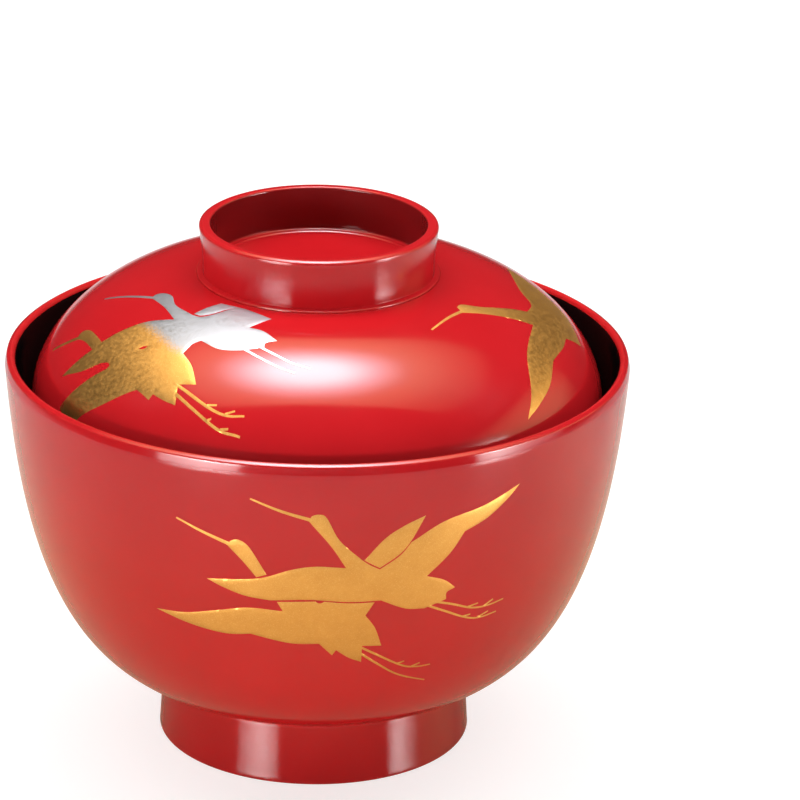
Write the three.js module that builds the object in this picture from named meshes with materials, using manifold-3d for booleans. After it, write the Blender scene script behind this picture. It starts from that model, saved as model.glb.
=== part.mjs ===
// A lidded soup bowl, turned in wood and lacquered: vermilion outside, black inside.
// Cranes in flight, in gold powder, lie on the front of the bowl and on the lid.
// The lid has a ring to lift it by and sits inside the mouth, a little below the rim.
// Millimetres, +Z up. The origin is the centre of the ring that the foot stands on.

import * as THREE from "three";
import { mergeVertices } from "three/addons/utils/BufferGeometryUtils.js";
import Module from "manifold-3d";

const wasm = await Module();
wasm.setup();

// Foot
const FOOT_RADIUS = 27.9;
const FOOT_NECK_RADIUS = 27.5;
const FOOT_HEIGHT = 11.9;
const FOOT_WALL = 3.4;
const FOOT_CHAMFER = 0.5;
const FOOT_RECESS_DEPTH = 7.5;

// Bowl
const BOWL_RADIUS = 55.15;
const RIM_HEIGHT = 71.7;
const RIM_BAND_HEIGHT = 1.75;
const RIM_BAND_LEAN = 0.4;
const RIM_ROUND = 0.8;
const BOWL_WALL = 4.2;
const RIM_WALL = 2.0;
const LIP_TAPER = 14.0;
const BASE_THICKNESS = 5.9;
const BELLY_RUN = 18.9;
const BELLY_LIFT = 4.4;
const FLANK_INSET = 2.3;
const FLANK_DROP = 31.1;

// Lid
const LID_SEAT_DEPTH = 11.2;
const LID_CLEARANCE = 0.4;
const LID_EDGE_WALL = 2.6;
const LID_WALL = 3.6;
const LID_CROWN_WALL = 4.2;
const DOME_RISE = 25.9;
const DOME_SIDE_HEIGHT = 15.4;
const DOME_SIDE_SWELL = 2.3;
const DOME_CROWN_REACH = 12.2;
const DOME_CROWN_LIFT = 0.4;

// Ring on the lid
const RING_HEIGHT = 9.2;
const RING_BEAD_RADIUS = 21.2;
const RING_BEAD_HEIGHT = 0.5;
const RING_BEAD_STEP = 0.45;
const RING_WAIST_RADIUS = 20.75;
const RING_LIP_RADIUS = 21.0;
const RING_LIP_WIDTH = 2.0;
const RING_LIP_ROUND = 0.7;
const RING_LIP_EASE = 0.4;
const RING_WELL_DEPTH = 8.0;
const RING_WELL_TAPER = 0.3;
const RING_WELL_FILLET = 0.8;

// Coats of lacquer and gold
const COAT = 0.4;
const GOLD_LIFT = 0.05;
const GOLD_COAT = 0.15;
const GOLD_PRISM_MARGIN = 4.0;
const BILL_ROOT = 1.0;
const BILL_TIP = 0.45;
const LEG_ROOT = 0.8;
const LEG_TIP = 0.5;
const TOE_WIDTH = 0.5;
const CRANE_UNIT = 1.0; // millimetres to one unit of the crane drawings
const DRAWN_LID_RADIUS = 50.291642; // edge of the lid that its cranes are drawn on
const DRAWN_RING_RADIUS = 21.2; // foot of the ring on that lid

// Facets
const TURN_STEPS = 40;
const BELLY_STEPS = 12;
const FLOOR_STEPS = 3;
const DOME_STEPS = 10;
const ROUND_STEPS = 4;
const WAIST_STEPS = 3;
const CURVE_STEPS = 2;

const vermilion = { color: 0xbd2a2f, roughness: 0.2, metalness: 0 };
const vermilionLid = { color: 0xd72126, roughness: 0.15, metalness: 0 };
const blackLacquer = { color: 0x050505, roughness: 0.15, metalness: 0 };
const turnedWood = { color: 0xb98f5f, roughness: 0.7, metalness: 0 };
const goldPowder = { color: 0xd7a046, roughness: 0.35, metalness: 0.9 };

// Points on a cubic curve through its four controls, each a radius and a height.
function curvePoints(controls, steps) {
  const curve = new THREE.CubicBezierCurve(...controls.map(([r, z]) => new THREE.Vector2(r, z)));
  return curve.getPoints(steps).map((point) => [point.x, point.y]);
}

// Points on an arc, from one angle to another in degrees, both ends included.
function arcPoints([r, z], radius, from, to) {
  const points = [];
  for (let i = 0; i <= ROUND_STEPS; i += 1) {
    const angle = THREE.MathUtils.degToRad(THREE.MathUtils.lerp(from, to, i / ROUND_STEPS));
    points.push([r + radius * Math.cos(angle), z + radius * Math.sin(angle)]);
  }
  return points;
}

// The left-hand direction of a line from one point to another.
function leftOf(a, b) {
  const length = Math.hypot(b[0] - a[0], b[1] - a[1]);
  return [(a[1] - b[1]) / length, (b[0] - a[0]) / length];
}

// A line of points moved sideways to its left, where the material is, by a depth at each point.
function inset(points, depthAt) {
  return points.map((point, i) => {
    const before = leftOf(points[Math.max(i - 1, 0)], points[Math.max(i, 1)]);
    const last = points.length - 1;
    const after = leftOf(points[Math.min(i, last - 1)], points[Math.min(i + 1, last)]);
    const sum = [before[0] + after[0], before[1] + after[1]];
    const scale = (2 * depthAt(point)) / (sum[0] ** 2 + sum[1] ** 2);
    return [point[0] + sum[0] * scale, point[1] + sum[1] * scale];
  });
}

function smooth(value) {
  return THREE.MathUtils.smoothstep(value, 0, 1);
}

// A turned solid from a closed outline, or from one that starts and ends on the axis.
function turned(points) {
  const profile = points.map(([r, z]) => new THREE.Vector2(Math.max(r, 0), z));
  return new THREE.LatheGeometry(profile, TURN_STEPS).rotateX(Math.PI / 2);
}

// The closed outline between a surface and a line behind it, neither of which meets the axis.
function ringBetween(surface, behind) {
  return [...surface, ...behind.toReversed(), surface[0]];
}

const material = (look) => new THREE.MeshStandardMaterial(look);
const part = new THREE.Group();

function addPiece(name, geometry, look) {
  const mesh = new THREE.Mesh(geometry, material(look));
  mesh.name = name;
  part.add(mesh);
}

// Outside of the bowl, from the standing edge up the foot and the belly, over the rim
const creaseHeight = RIM_HEIGHT - RIM_BAND_HEIGHT;
const belly = curvePoints(
  [
    [FOOT_NECK_RADIUS, FOOT_HEIGHT],
    [FOOT_NECK_RADIUS + BELLY_RUN, FOOT_HEIGHT + BELLY_LIFT],
    [BOWL_RADIUS - FLANK_INSET, creaseHeight - FLANK_DROP],
    [BOWL_RADIUS, creaseHeight],
  ],
  BELLY_STEPS,
);
const crestCentre = [BOWL_RADIUS - RIM_BAND_LEAN - RIM_ROUND, RIM_HEIGHT - RIM_ROUND];
const outside = [
  [FOOT_RADIUS - FOOT_CHAMFER, 0],
  [FOOT_RADIUS, FOOT_CHAMFER],
  ...belly,
  ...arcPoints(crestCentre, RIM_ROUND, 0, 180),
];
const outsideCore = inset(outside, () => COAT);
outsideCore[0] = [outside[0][0] - COAT, 0];

// Inside of the bowl, from the rim down the wall and over the floor to the axis
const wallAt = ([, z]) => THREE.MathUtils.lerp(RIM_WALL, BOWL_WALL, smooth((creaseHeight - z) / LIP_TAPER));
const innerWall = inset(belly, wallAt).toReversed();
const floorHeight = FOOT_RECESS_DEPTH + BASE_THICKNESS;
const floorEdge = innerWall.at(-1);
const floor = new THREE.QuadraticBezierCurve(
  new THREE.Vector2(...floorEdge),
  new THREE.Vector2(floorEdge[0] / 2, floorHeight),
  new THREE.Vector2(0, floorHeight),
);
const inside = [
  outside.at(-1),
  ...innerWall,
  ...floor.getPoints(FLOOR_STEPS).slice(1).map((point) => [point.x, point.y]),
];
const insideCore = inset(inside, () => COAT);
insideCore[0] = outsideCore.at(-1);
insideCore[insideCore.length - 1] = [0, floorHeight - COAT];

// Underside of the bowl, within the foot
const footInner = FOOT_RADIUS - FOOT_WALL;
const recess = [
  [0, FOOT_RECESS_DEPTH],
  [footInner - FOOT_CHAMFER, FOOT_RECESS_DEPTH],
  [footInner, FOOT_RECESS_DEPTH - FOOT_CHAMFER],
  [footInner, 0],
];
const recessCore = inset(recess, () => COAT);

addPiece("bowl_core", turned([...recessCore, ...outsideCore, ...insideCore.slice(1)]), turnedWood);
addPiece("bowl_red_lacquer", turned(ringBetween(outside, outsideCore)), vermilion);
addPiece("bowl_black_lacquer", turned([...insideCore.toReversed(), ...inside]), blackLacquer);
addPiece("foot_black_lacquer", turned([...recess, ...recessCore.toReversed()]), blackLacquer);

// Radius of the inside of the bowl at a height
function innerRadiusAt(height) {
  const below = inside.findIndex(([, z]) => z < height);
  const [lowRadius, lowHeight] = inside[below];
  const [highRadius, highHeight] = inside[below - 1];
  return THREE.MathUtils.mapLinear(height, lowHeight, highHeight, lowRadius, highRadius);
}

// Top of the lid, from the inner side of its edge up over the dome and the ring to the axis
const seatHeight = RIM_HEIGHT - LID_SEAT_DEPTH;
const lidRadius = innerRadiusAt(seatHeight) - LID_CLEARANCE;
const ringFoot = seatHeight + DOME_RISE;
const ringTop = ringFoot + RING_HEIGHT;
const wellFloor = ringTop - RING_WELL_DEPTH;
const edgeRound = LID_EDGE_WALL / 2;
const dome = curvePoints(
  [
    [lidRadius, seatHeight],
    [lidRadius + DOME_SIDE_SWELL, seatHeight + DOME_SIDE_HEIGHT],
    [RING_BEAD_RADIUS + DOME_CROWN_REACH, ringFoot + DOME_CROWN_LIFT],
    [RING_BEAD_RADIUS, ringFoot],
  ],
  DOME_STEPS,
);
const beadTop = ringFoot + RING_BEAD_HEIGHT;
const waistCurve = new THREE.QuadraticBezierCurve(
  new THREE.Vector2(RING_BEAD_RADIUS - RING_BEAD_STEP, beadTop + RING_BEAD_STEP),
  new THREE.Vector2(2 * RING_WAIST_RADIUS - RING_LIP_RADIUS, (ringFoot + ringTop) / 2),
  new THREE.Vector2(RING_LIP_RADIUS, ringTop - RING_LIP_ROUND),
);
const lipInner = RING_LIP_RADIUS - RING_LIP_WIDTH;
const wellRadius = lipInner - RING_WELL_TAPER;
const filletCentre = [wellRadius - RING_WELL_FILLET, wellFloor + RING_WELL_FILLET];
const lidTop = [
  ...arcPoints([lidRadius - edgeRound, seatHeight], edgeRound, 180, 360),
  ...dome.slice(1),
  [RING_BEAD_RADIUS, beadTop],
  ...waistCurve.getPoints(WAIST_STEPS).map((point) => [point.x, point.y]),
  ...arcPoints([RING_LIP_RADIUS - RING_LIP_ROUND, ringTop - RING_LIP_ROUND], RING_LIP_ROUND, 0, 90).slice(1),
  ...arcPoints([lipInner + RING_LIP_EASE, ringTop - RING_LIP_EASE], RING_LIP_EASE, 90, 180),
  [wellRadius, wellFloor + RING_WELL_FILLET],
  [filletCentre[0], wellFloor],
  [0, wellFloor],
];
const lidTopCore = inset(lidTop, () => COAT);
lidTopCore[lidTopCore.length - 1] = [0, wellFloor - COAT];

// Underside of the lid, from the axis out to the inner side of the edge
const lidWallAt = ([, z]) => {
  const rise = (z - seatHeight) / DOME_SIDE_HEIGHT;
  return THREE.MathUtils.lerp(LID_EDGE_WALL, LID_WALL, smooth(rise));
};
const lidUnder = [
  [0, wellFloor - LID_CROWN_WALL],
  ...inset(dome, lidWallAt).slice(1).toReversed(),
  lidTop[0],
];
const lidUnderCore = inset(lidUnder, () => COAT);
lidUnderCore[0] = [0, lidUnder[0][1] + COAT];
lidUnderCore[lidUnderCore.length - 1] = lidTopCore[0];

addPiece("lid_core", turned([...lidUnderCore, ...lidTopCore.slice(1)]), turnedWood);
addPiece("lid_red_lacquer", turned([...lidTopCore.toReversed(), ...lidTop]), vermilionLid);
addPiece("lid_black_lacquer", turned([...lidUnder, ...lidUnderCore.toReversed()]), blackLacquer);

// Closed solids for cutting, with only their shared corners
function toSolid(geometry) {
  geometry.deleteAttribute("normal");
  geometry.deleteAttribute("uv");
  const merged = mergeVertices(geometry);
  const vertProperties = Float32Array.from(merged.attributes.position.array);
  const triVerts = Uint32Array.from(merged.index.array);
  return new wasm.Manifold(new wasm.Mesh({ numProp: 3, vertProperties, triVerts }));
}

function toGeometry(solid) {
  const { vertProperties, triVerts } = solid.getMesh();
  const geometry = new THREE.BufferGeometry();
  geometry.setAttribute("position", new THREE.BufferAttribute(vertProperties, 3));
  geometry.setIndex(new THREE.BufferAttribute(triVerts, 1));
  geometry.computeVertexNormals();
  return geometry;
}

const toVector = ([x, y]) => new THREE.Vector2(x, y).multiplyScalar(CRANE_UNIT);
const toVectors = (points) => points.map(toVector);

// A flat outline of smooth strokes that meet at corners. Each stroke ends at a corner.
function outline(start, ...strokes) {
  const shape = new THREE.Shape().moveTo(...toVector(start));
  strokes.forEach((stroke) => shape.splineThru(toVectors(stroke)));
  return shape;
}

// A narrow band along a smooth line, as a bill, a leg or a toe is brushed.
function brushed(points, rootWidth, tipWidth) {
  const line = new THREE.SplineCurve(toVectors(points));
  const steps = CURVE_STEPS * points.length;
  const sides = [[], []];
  for (let i = 0; i <= steps; i += 1) {
    const point = line.getPoint(i / steps);
    const across = line.getTangent(i / steps).rotateAround(new THREE.Vector2(), Math.PI / 2);
    const half = THREE.MathUtils.lerp(rootWidth, tipWidth, i / steps) / 2;
    sides[0].push(point.clone().addScaledVector(across, -half));
    sides[1].push(point.clone().addScaledVector(across, half));
  }
  return new THREE.Shape([...sides[0], ...sides[1].reverse()]);
}

const bill = (points) => brushed(points, BILL_ROOT, BILL_TIP);
const leg = (points) => brushed(points, LEG_ROOT, LEG_TIP);
const toe = (points) => brushed(points, TOE_WIDTH, LEG_TIP);

// A thin coat of gold over a surface, cut to flat shapes that are carried straight through it.
function goldFilm(surface, shapes, depth, place) {
  const under = inset(surface, () => -GOLD_LIFT);
  const over = inset(surface, () => -GOLD_LIFT - GOLD_COAT);
  const coat = toSolid(turned(ringBetween(over, under)));
  const settings = { depth, bevelEnabled: false, curveSegments: CURVE_STEPS };
  const prisms = shapes.map((shape) => toSolid(place(new THREE.ExtrudeGeometry(shape, settings))));
  return toGeometry(coat.intersect(prisms.reduce((all, prism) => all.add(prism))));
}

// On the bowl the shapes are drawn as seen from the front: across, and up from the rim.
function bowlGold(name, shapes) {
  const toFront = (geometry) => geometry.rotateX(Math.PI / 2).translate(0, 0, RIM_HEIGHT);
  const depth = BOWL_RADIUS + GOLD_PRISM_MARGIN;
  addPiece(name, goldFilm(belly, shapes, depth, toFront), goldPowder);
}

// On the lid they are drawn as seen from above: across, and back from the front.
// Each point keeps its share of the way from the foot of the ring to the edge of the lid.
function ontoLid(geometry) {
  const { position } = geometry.attributes;
  for (let i = 0; i < position.count; i += 1) {
    const drawn = Math.hypot(position.getX(i), position.getY(i));
    const limits = [DRAWN_RING_RADIUS, DRAWN_LID_RADIUS, RING_BEAD_RADIUS, lidRadius];
    const scale = THREE.MathUtils.mapLinear(drawn, ...limits) / drawn;
    position.setXY(i, position.getX(i) * scale, position.getY(i) * scale);
  }
  return geometry.translate(0, 0, seatHeight);
}

function lidGold(name, shapes) {
  const depth = DOME_RISE + GOLD_PRISM_MARGIN;
  addPiece(name, goldFilm(dome, shapes, depth, ontoLid), goldPowder);
}

// Leading crane on the bowl: neck, broad wing, tail, underside and the wing on the left
bowlGold("bowl_crane_lead", [
  outline(
    [-1.1, -10.2],
    [[-0.6, -9.2], [0.7, -8.9], [1.9, -9.6], [4.1, -13.9], [7.9, -17.8]],
    [[9.2, -18.8], [10.9, -19.8]],
    [[14.3, -17.4], [16.2, -15.0]],
    [[21.8, -11.8], [28.5, -10.2], [34.5, -7.8]],
    [[32.5, -10.0], [29.1, -12.7], [25.2, -14.5]],
    [[22.8, -18.2], [18.9, -22.1]],
    [[21.9, -23.4], [23.8, -25.3]],
    [[22.4, -26.0], [22.3, -27.4]],
    [[18.6, -28.6]],
    [[15.3, -28.1], [11.2, -26.0]],
    [[6.0, -26.0], [-0.8, -25.5], [-7.6, -25.9]],
    [[-11.8, -25.4], [-15.7, -24.1], [-18.3, -22.9]],
    [[-9.6, -21.7], [-4.2, -19.7], [0.0, -18.9], [5.2, -19.2]],
    [[2.6, -14.9], [-1.1, -10.2]],
  ),
  bill([[-0.6, -10.0], [-6.0, -8.4], [-11.0, -6.5]]),
  leg([[19.9, -27.4], [23.4, -28.7], [26.9, -30.4], [29.7, -30.7], [32.3, -30.3]]),
  toe([[28.8, -30.7], [30.5, -29.7]]),
  leg([[17.9, -27.4], [22.2, -29.9], [25.9, -32.2], [28.3, -32.9], [31.1, -32.6]]),
  toe([[27.8, -32.8], [29.7, -32.0]]),
]);

// Its far wing, set off from the neck and the broad wing by a fine bare line
bowlGold("bowl_crane_far_wing", [
  outline(
    [8.5, -17.7],
    [[11.7, -13.9], [15.0, -11.7], [18.5, -10.2]],
    [[16.1, -14.5], [14.0, -16.9], [10.9, -19.1]],
    [[8.5, -17.7]],
  ),
]);

// Crane that follows below: wing, body and fanned tail under the leader's wing
bowlGold("bowl_crane_follower", [
  outline(
    [-6.2, -26.5],
    [[-0.8, -26.1], [6.0, -26.6], [10.0, -26.6]],
    [[8.6, -28.9]],
    [[10.3, -31.7], [11.4, -35.5]],
    [[8.1, -35.3]],
    [[8.0, -38.8]],
    [[5.8, -37.7], [3.7, -36.0]],
    [[3.0, -37.1]],
    [[0.8, -34.6]],
    [[-4.1, -34.6], [-10.8, -33.2]],
    [[-15.2, -33.7], [-21.2, -32.9], [-27.0, -31.3]],
    [[-22.1, -30.7], [-16.9, -29.2], [-11.3, -27.8], [-5.4, -28.0]],
    [[-6.2, -26.5]],
  ),
  leg([[6.9, -34.9], [10.9, -37.6], [15.1, -40.5], [17.5, -41.2], [19.9, -41.2]]),
  toe([[16.6, -41.0], [18.1, -40.4]]),
  leg([[6.8, -36.0], [10.9, -39.6], [14.4, -42.5], [19.0, -44.8]]),
]);

// Its head and neck, which come out above the leader's wing
bowlGold("bowl_crane_follower_neck", [
  outline(
    [-14.9, -15.7],
    [[-14.0, -14.7], [-12.7, -14.6], [-11.0, -16.0], [-8.4, -20.4]],
    [[-10.1, -21.2]],
    [[-12.2, -18.6], [-14.9, -15.7]],
  ),
  bill([[-14.3, -15.6], [-18.9, -13.9], [-23.5, -12.0]]),
]);

// Pair of cranes on the left of the lid, one over the other
lidGold("lid_crane_pair", [
  outline(
    [-28.9, -10.3],
    [[-28.2, -9.4], [-26.8, -9.6], [-25.3, -11.5], [-24.5, -15.4], [-21.7, -19.6]],
    [[-19.3, -18.1], [-16.7, -16.7]],
    [[-12.6, -19.4], [-8.0, -23.7]],
    [[-11.7, -26.1]],
    [[-9.2, -27.6], [-6.9, -30.4]],
    [[-8.8, -30.7], [-9.1, -31.8]],
    [[-13.2, -31.7], [-16.9, -30.5], [-19.9, -27.6]],
    [[-21.4, -27.8], [-22.9, -29.3]],
    [[-21.3, -32.7], [-20.5, -36.2]],
    [[-23.6, -35.0]],
    [[-24.0, -37.9]],
    [[-26.1, -36.2], [-27.9, -34.5]],
    [[-28.4, -35.2]],
    [[-30.7, -32.2]],
    [[-35.7, -30.4], [-40.1, -27.3], [-44.4, -21.9]],
    [[-40.8, -23.6], [-35.8, -24.6]],
    [[-38.5, -21.7], [-44.1, -17.2]],
    [[-41.3, -17.6], [-38.7, -17.3]],
    [[-40.2, -13.6], [-42.1, -10.3]],
    [[-40.5, -10.5], [-38.6, -14.2], [-37.1, -17.7]],
    [[-33.3, -17.6], [-29.3, -18.1], [-24.7, -19.9]],
    [[-26.6, -14.9], [-28.9, -10.3]],
  ),
  bill([[-28.1, -10.8], [-32.8, -6.8], [-37.4, -2.7]]),
  bill([[-41.4, -11.1], [-43.9, -8.9], [-45.6, -7.6]]),
  leg([[-10.6, -30.9], [-7.2, -33.6], [-4.3, -35.6], [-1.2, -36.8]]),
  leg([[-13.2, -30.9], [-10.1, -33.7], [-6.8, -36.1], [-3.8, -37.6]]),
  leg([[-24.3, -34.4], [-20.6, -38.0], [-17.0, -41.2], [-12.3, -43.2]]),
  toe([[-15.5, -42.0], [-13.6, -42.0]]),
  leg([[-24.6, -35.6], [-20.6, -39.9], [-17.1, -43.2], [-12.9, -45.4]]),
  toe([[-16.5, -43.6], [-14.8, -44.0]]),
]);

// Single crane on the right of the lid, with one wing forward and one over the back
lidGold("lid_crane_single", [
  outline(
    [24.0, -15.1],
    [[24.9, -13.7], [28.9, -12.4], [36.5, -7.3]],
    [[37.3, -3.1], [35.3, 1.9], [33.5, 14.0]],
    [[39.5, 8.5], [44.0, 4.0], [46.3, -3.5]],
    [[43.4, -7.0]],
    [[42.7, -11.3], [40.8, -17.2]],
    [[40.1, -23.0], [38.2, -28.1], [36.1, -32.0]],
    [[36.7, -27.8], [36.1, -20.5], [37.4, -11.0]],
    [[32.4, -13.2], [25.0, -16.5]],
    [[24.0, -15.1]],
  ),
  bill([[25.4, -15.4], [22.5, -19.3], [19.5, -24.2]]),
]);

export default part;
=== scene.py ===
"""A lidded soup bowl in vermilion and black lacquer, with cranes in gold and silver powder.

The scene follows the object as it is put together: the turned cores, their coats of
lacquer, the gold on the coats, and then the table, the light and the camera.
Metres, +Z up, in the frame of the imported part.
"""
import math

import bmesh
import bpy
import numpy as np
from mathutils import Matrix, Vector
from mathutils.geometry import delaunay_2d_cdt


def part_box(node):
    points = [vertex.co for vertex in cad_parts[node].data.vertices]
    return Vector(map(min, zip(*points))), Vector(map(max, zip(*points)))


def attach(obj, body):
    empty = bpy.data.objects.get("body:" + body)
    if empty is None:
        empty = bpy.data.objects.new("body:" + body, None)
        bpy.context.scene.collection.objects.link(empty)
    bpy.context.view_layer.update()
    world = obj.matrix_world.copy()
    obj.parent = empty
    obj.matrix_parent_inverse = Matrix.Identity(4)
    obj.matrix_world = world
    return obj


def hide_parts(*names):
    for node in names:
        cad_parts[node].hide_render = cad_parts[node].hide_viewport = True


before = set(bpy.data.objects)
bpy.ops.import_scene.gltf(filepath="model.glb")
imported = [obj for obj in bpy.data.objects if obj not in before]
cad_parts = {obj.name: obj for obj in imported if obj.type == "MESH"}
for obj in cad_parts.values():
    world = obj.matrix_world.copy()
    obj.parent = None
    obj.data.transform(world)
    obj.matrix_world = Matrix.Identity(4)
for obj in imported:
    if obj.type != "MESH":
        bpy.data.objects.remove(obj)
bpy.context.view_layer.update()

# Bowl core: one piece of wood turned on a lathe, foot and all, and sealed under the lacquer. It shows
# only on the narrow ring that the bowl stands on, where the coats end. The lines drawn here are the
# finished surfaces, and the coats and the core are measured in from them.
MM = 0.001
COAT = 0.4 * MM
BOWL_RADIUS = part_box("bowl_red_lacquer")[1].x
RIM_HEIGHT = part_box("bowl_red_lacquer")[1].z
FOOT_RADIUS = 27.9 * MM
FOOT_WAIST_RADIUS = 27.3 * MM
FOOT_NECK_RADIUS = 27.5 * MM
FOOT_HEIGHT = 11.9 * MM
FOOT_EDGE_ROUND = 0.5 * MM
FOOT_EDGE_STEP = 0.05 * MM
FOOT_COVE_HEIGHT = 1.65 * MM
FOOT_COVE_BEND = 0.66 * MM
FOOT_COVE_LIP = 0.165 * MM
FOOT_WALL = 3.4 * MM
FOOT_RECESS_DEPTH = 7.5 * MM
BASE_THICKNESS = 5.9 * MM
BELLY_RUN = 18.9 * MM
BELLY_LIFT = 4.4 * MM
FLANK_INSET = 2.3 * MM
FLANK_DROP = 31.1 * MM
BOWL_WALL = 4.2 * MM
RIM_WALL = 2.0 * MM
LIP_TAPER = 14.0 * MM
RIM_BAND_HEIGHT = 1.75 * MM
RIM_BAND_LEAN = 0.23 * MM
RIM_BAND_SWELL = 0.03 * MM
RIM_ROUND = 0.8 * MM
RIM_EASE = 0.10 * MM
RIM_SHOULDER, RIM_CREST_OUT, RIM_CREST_IN = 12, 33, 93  # degrees round the top of the rim
TURNS = 256
EDGE_REACH = 0.4 * MM  # a bend of this radius counts as a full edge
CREASE_ANGLE = math.radians(32)
WOOD_PALE = (0.55, 0.34, 0.16)
WOOD_DARK = (0.36, 0.19, 0.08)


def curve(controls, steps):
    """Points on the smooth curve of two to four controls, at evenly spaced parameters t. Of n + 1
    controls, number k counts for n choose k, times t to the k, times 1 - t to the n - k."""
    controls = np.array(controls, float)
    degree = len(controls) - 1
    t = np.linspace(0, 1, steps + 1)[:, None]
    counts = [math.comb(degree, k) * t**k * (1 - t) ** (degree - k) for k in range(degree + 1)]
    return sum(count * control for count, control in zip(counts, controls))


def arc(centre, radius, start, end, steps):
    """Points on a circle about centre from one angle to another, in degrees."""
    angle = np.radians(np.linspace(start, end, steps + 1))
    return np.array(centre) + radius * np.column_stack((np.cos(angle), np.sin(angle)))


def eased(bend, handle, steps):
    """A turn flattened in its middle, as fine paper leaves an edge: the cubic between the ends of a
    round bend of three points, with handles along its end tangents shorter than a circle needs."""
    start, middle, end = bend
    chord = (end - start) / np.linalg.norm(end - start)
    outward = np.array((chord[1], -chord[0]))
    half_turn = 2 * math.atan2((middle - start) @ outward, (middle - start) @ chord)
    leave = math.cos(half_turn) * chord + math.sin(half_turn) * outward
    arrive = math.cos(half_turn) * chord - math.sin(half_turn) * outward
    return curve([start, start + handle * leave, end - handle * arrive, end], steps)


def inset(line, depth):
    """The line moved to its left by depth: each point goes along the sum of the left-hand
    directions of the two stretches that meet there, as far as a mitre needs."""
    stretch = np.diff(line, axis=0)
    left = np.column_stack((-stretch[:, 1], stretch[:, 0]))
    left /= np.linalg.norm(left, axis=1)[:, None]
    mitre = np.vstack((left[:1], left)) + np.vstack((left, left[-1:]))
    reach = 2 * np.broadcast_to(depth, len(line)) / (mitre**2).sum(axis=1)
    return line + mitre * reach[:, None]


def smooth_step(value):
    """From none to one with level ends: three times the square, less twice the cube."""
    value = np.clip(value, 0, 1)
    return value * value * (3 - 2 * value)


def turned(name, profile):
    """The profile (radius, height) carried round the axis. Grid point (i, j) is profile point i
    at angle j of TURNS. A profile that starts and ends on the axis gets a fan at each end, and
    any other closes on itself. The attribute edge is high where the profile bends sharply."""
    on_axis = np.isclose(profile[0, 0], 0)
    rings = profile[1:-1] if on_axis else profile
    angle = np.arange(TURNS) * 2 * np.pi / TURNS
    radius, height = rings[:, :1], rings[:, 1:]
    level = np.broadcast_to(height, (len(rings), TURNS))
    grid = np.stack((radius * np.cos(angle), radius * np.sin(angle), level), axis=-1)
    index = np.arange(len(rings) * TURNS).reshape(len(rings), TURNS)
    if not on_axis:
        index = np.vstack((index, index[:1]))
    further = np.roll(index, -1, axis=1)
    quads = np.stack((index[:-1], further[:-1], further[1:], index[1:]), axis=-1).reshape(-1, 4)
    verts = grid.reshape(-1, 3)
    faces = quads.tolist()
    if on_axis:
        poles = np.array([(0, 0, profile[0, 1]), (0, 0, profile[-1, 1])])
        first, last = len(verts), len(verts) + 1
        verts = np.vstack((verts, poles))
        first_fan = np.stack((np.full(TURNS, first), further[0], index[0]), axis=-1)
        last_fan = np.stack((np.full(TURNS, last), index[-1], further[-1]), axis=-1)
        faces += first_fan.tolist() + last_fan.tolist()
    mesh = bpy.data.meshes.new(name)
    mesh.from_pydata(verts.tolist(), [], faces)
    along = np.gradient(rings, axis=0)
    bend = np.gradient(np.unwrap(np.arctan2(along[:, 1], along[:, 0])))
    run = np.linalg.norm(along, axis=1)
    edge = np.repeat(smooth_step(bend / run * EDGE_REACH), TURNS)
    edge = np.append(edge, np.zeros(len(verts) - len(edge)))
    mesh.attributes.new("edge", "FLOAT", "POINT").data.foreach_set("value", edge.astype(np.float32))
    return add_mesh(name, mesh)


def add_mesh(name, mesh):
    """The mesh as an object at the origin, shaded smooth between its sharp edges."""
    mesh.validate()
    mesh.polygons.foreach_set("use_smooth", np.ones(len(mesh.polygons), bool))
    mesh.set_sharp_from_angle(angle=CREASE_ANGLE)
    piece = bpy.data.objects.new(name, mesh)
    bpy.context.scene.collection.objects.link(piece)
    return piece


def new_material(name):
    """A material with its nodes, its shader and the object's own coordinates."""
    material = bpy.data.materials.new(name)
    material.use_nodes = True
    nodes = material.node_tree.nodes
    shader = nodes["Principled BSDF"]
    place = nodes.new("ShaderNodeTexCoord").outputs["Object"]
    return material, nodes, material.node_tree.links.new, shader, place


def noise(nodes, link, place, scale, detail, roughness=0.5):
    """Noise with features of about one over scale, in metres."""
    node = nodes.new("ShaderNodeTexNoise")
    node.inputs["Scale"].default_value = scale
    node.inputs["Detail"].default_value = detail
    node.inputs["Roughness"].default_value = roughness
    link(place, node.inputs["Vector"])
    return node.outputs["Fac"]


def spread(nodes, link, value, low, high, from_low=0.3, from_high=0.7):
    """A value between from_low and from_high carried to the range low to high."""
    node = nodes.new("ShaderNodeMapRange")
    node.inputs["From Min"].default_value = from_low
    node.inputs["From Max"].default_value = from_high
    node.inputs["To Min"].default_value = low
    node.inputs["To Max"].default_value = high
    link(value, node.inputs["Value"])
    return node.outputs["Result"]


def mixed(nodes, link, factor, first, second):
    """Two colours mixed by a factor. Each is a colour or the output of a node. The colour sockets of
    the mixing node are its inputs 6 and 7 and its output 2."""
    node = nodes.new("ShaderNodeMix")
    node.data_type = "RGBA"
    link(factor, node.inputs["Factor"])
    for socket, colour in zip((node.inputs[6], node.inputs[7]), (first, second)):
        if isinstance(colour, tuple):
            socket.default_value = (*colour, 1)
        else:
            link(colour, socket)
    return node.outputs[2]


def bumped(nodes, link, shader, height, distance, strength):
    """A fine relief on the shader, as deep as distance times strength."""
    node = nodes.new("ShaderNodeBump")
    node.inputs["Distance"].default_value = distance
    node.inputs["Strength"].default_value = strength
    link(height, node.inputs["Height"])
    link(node.outputs["Normal"], shader.inputs["Normal"])


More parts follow.
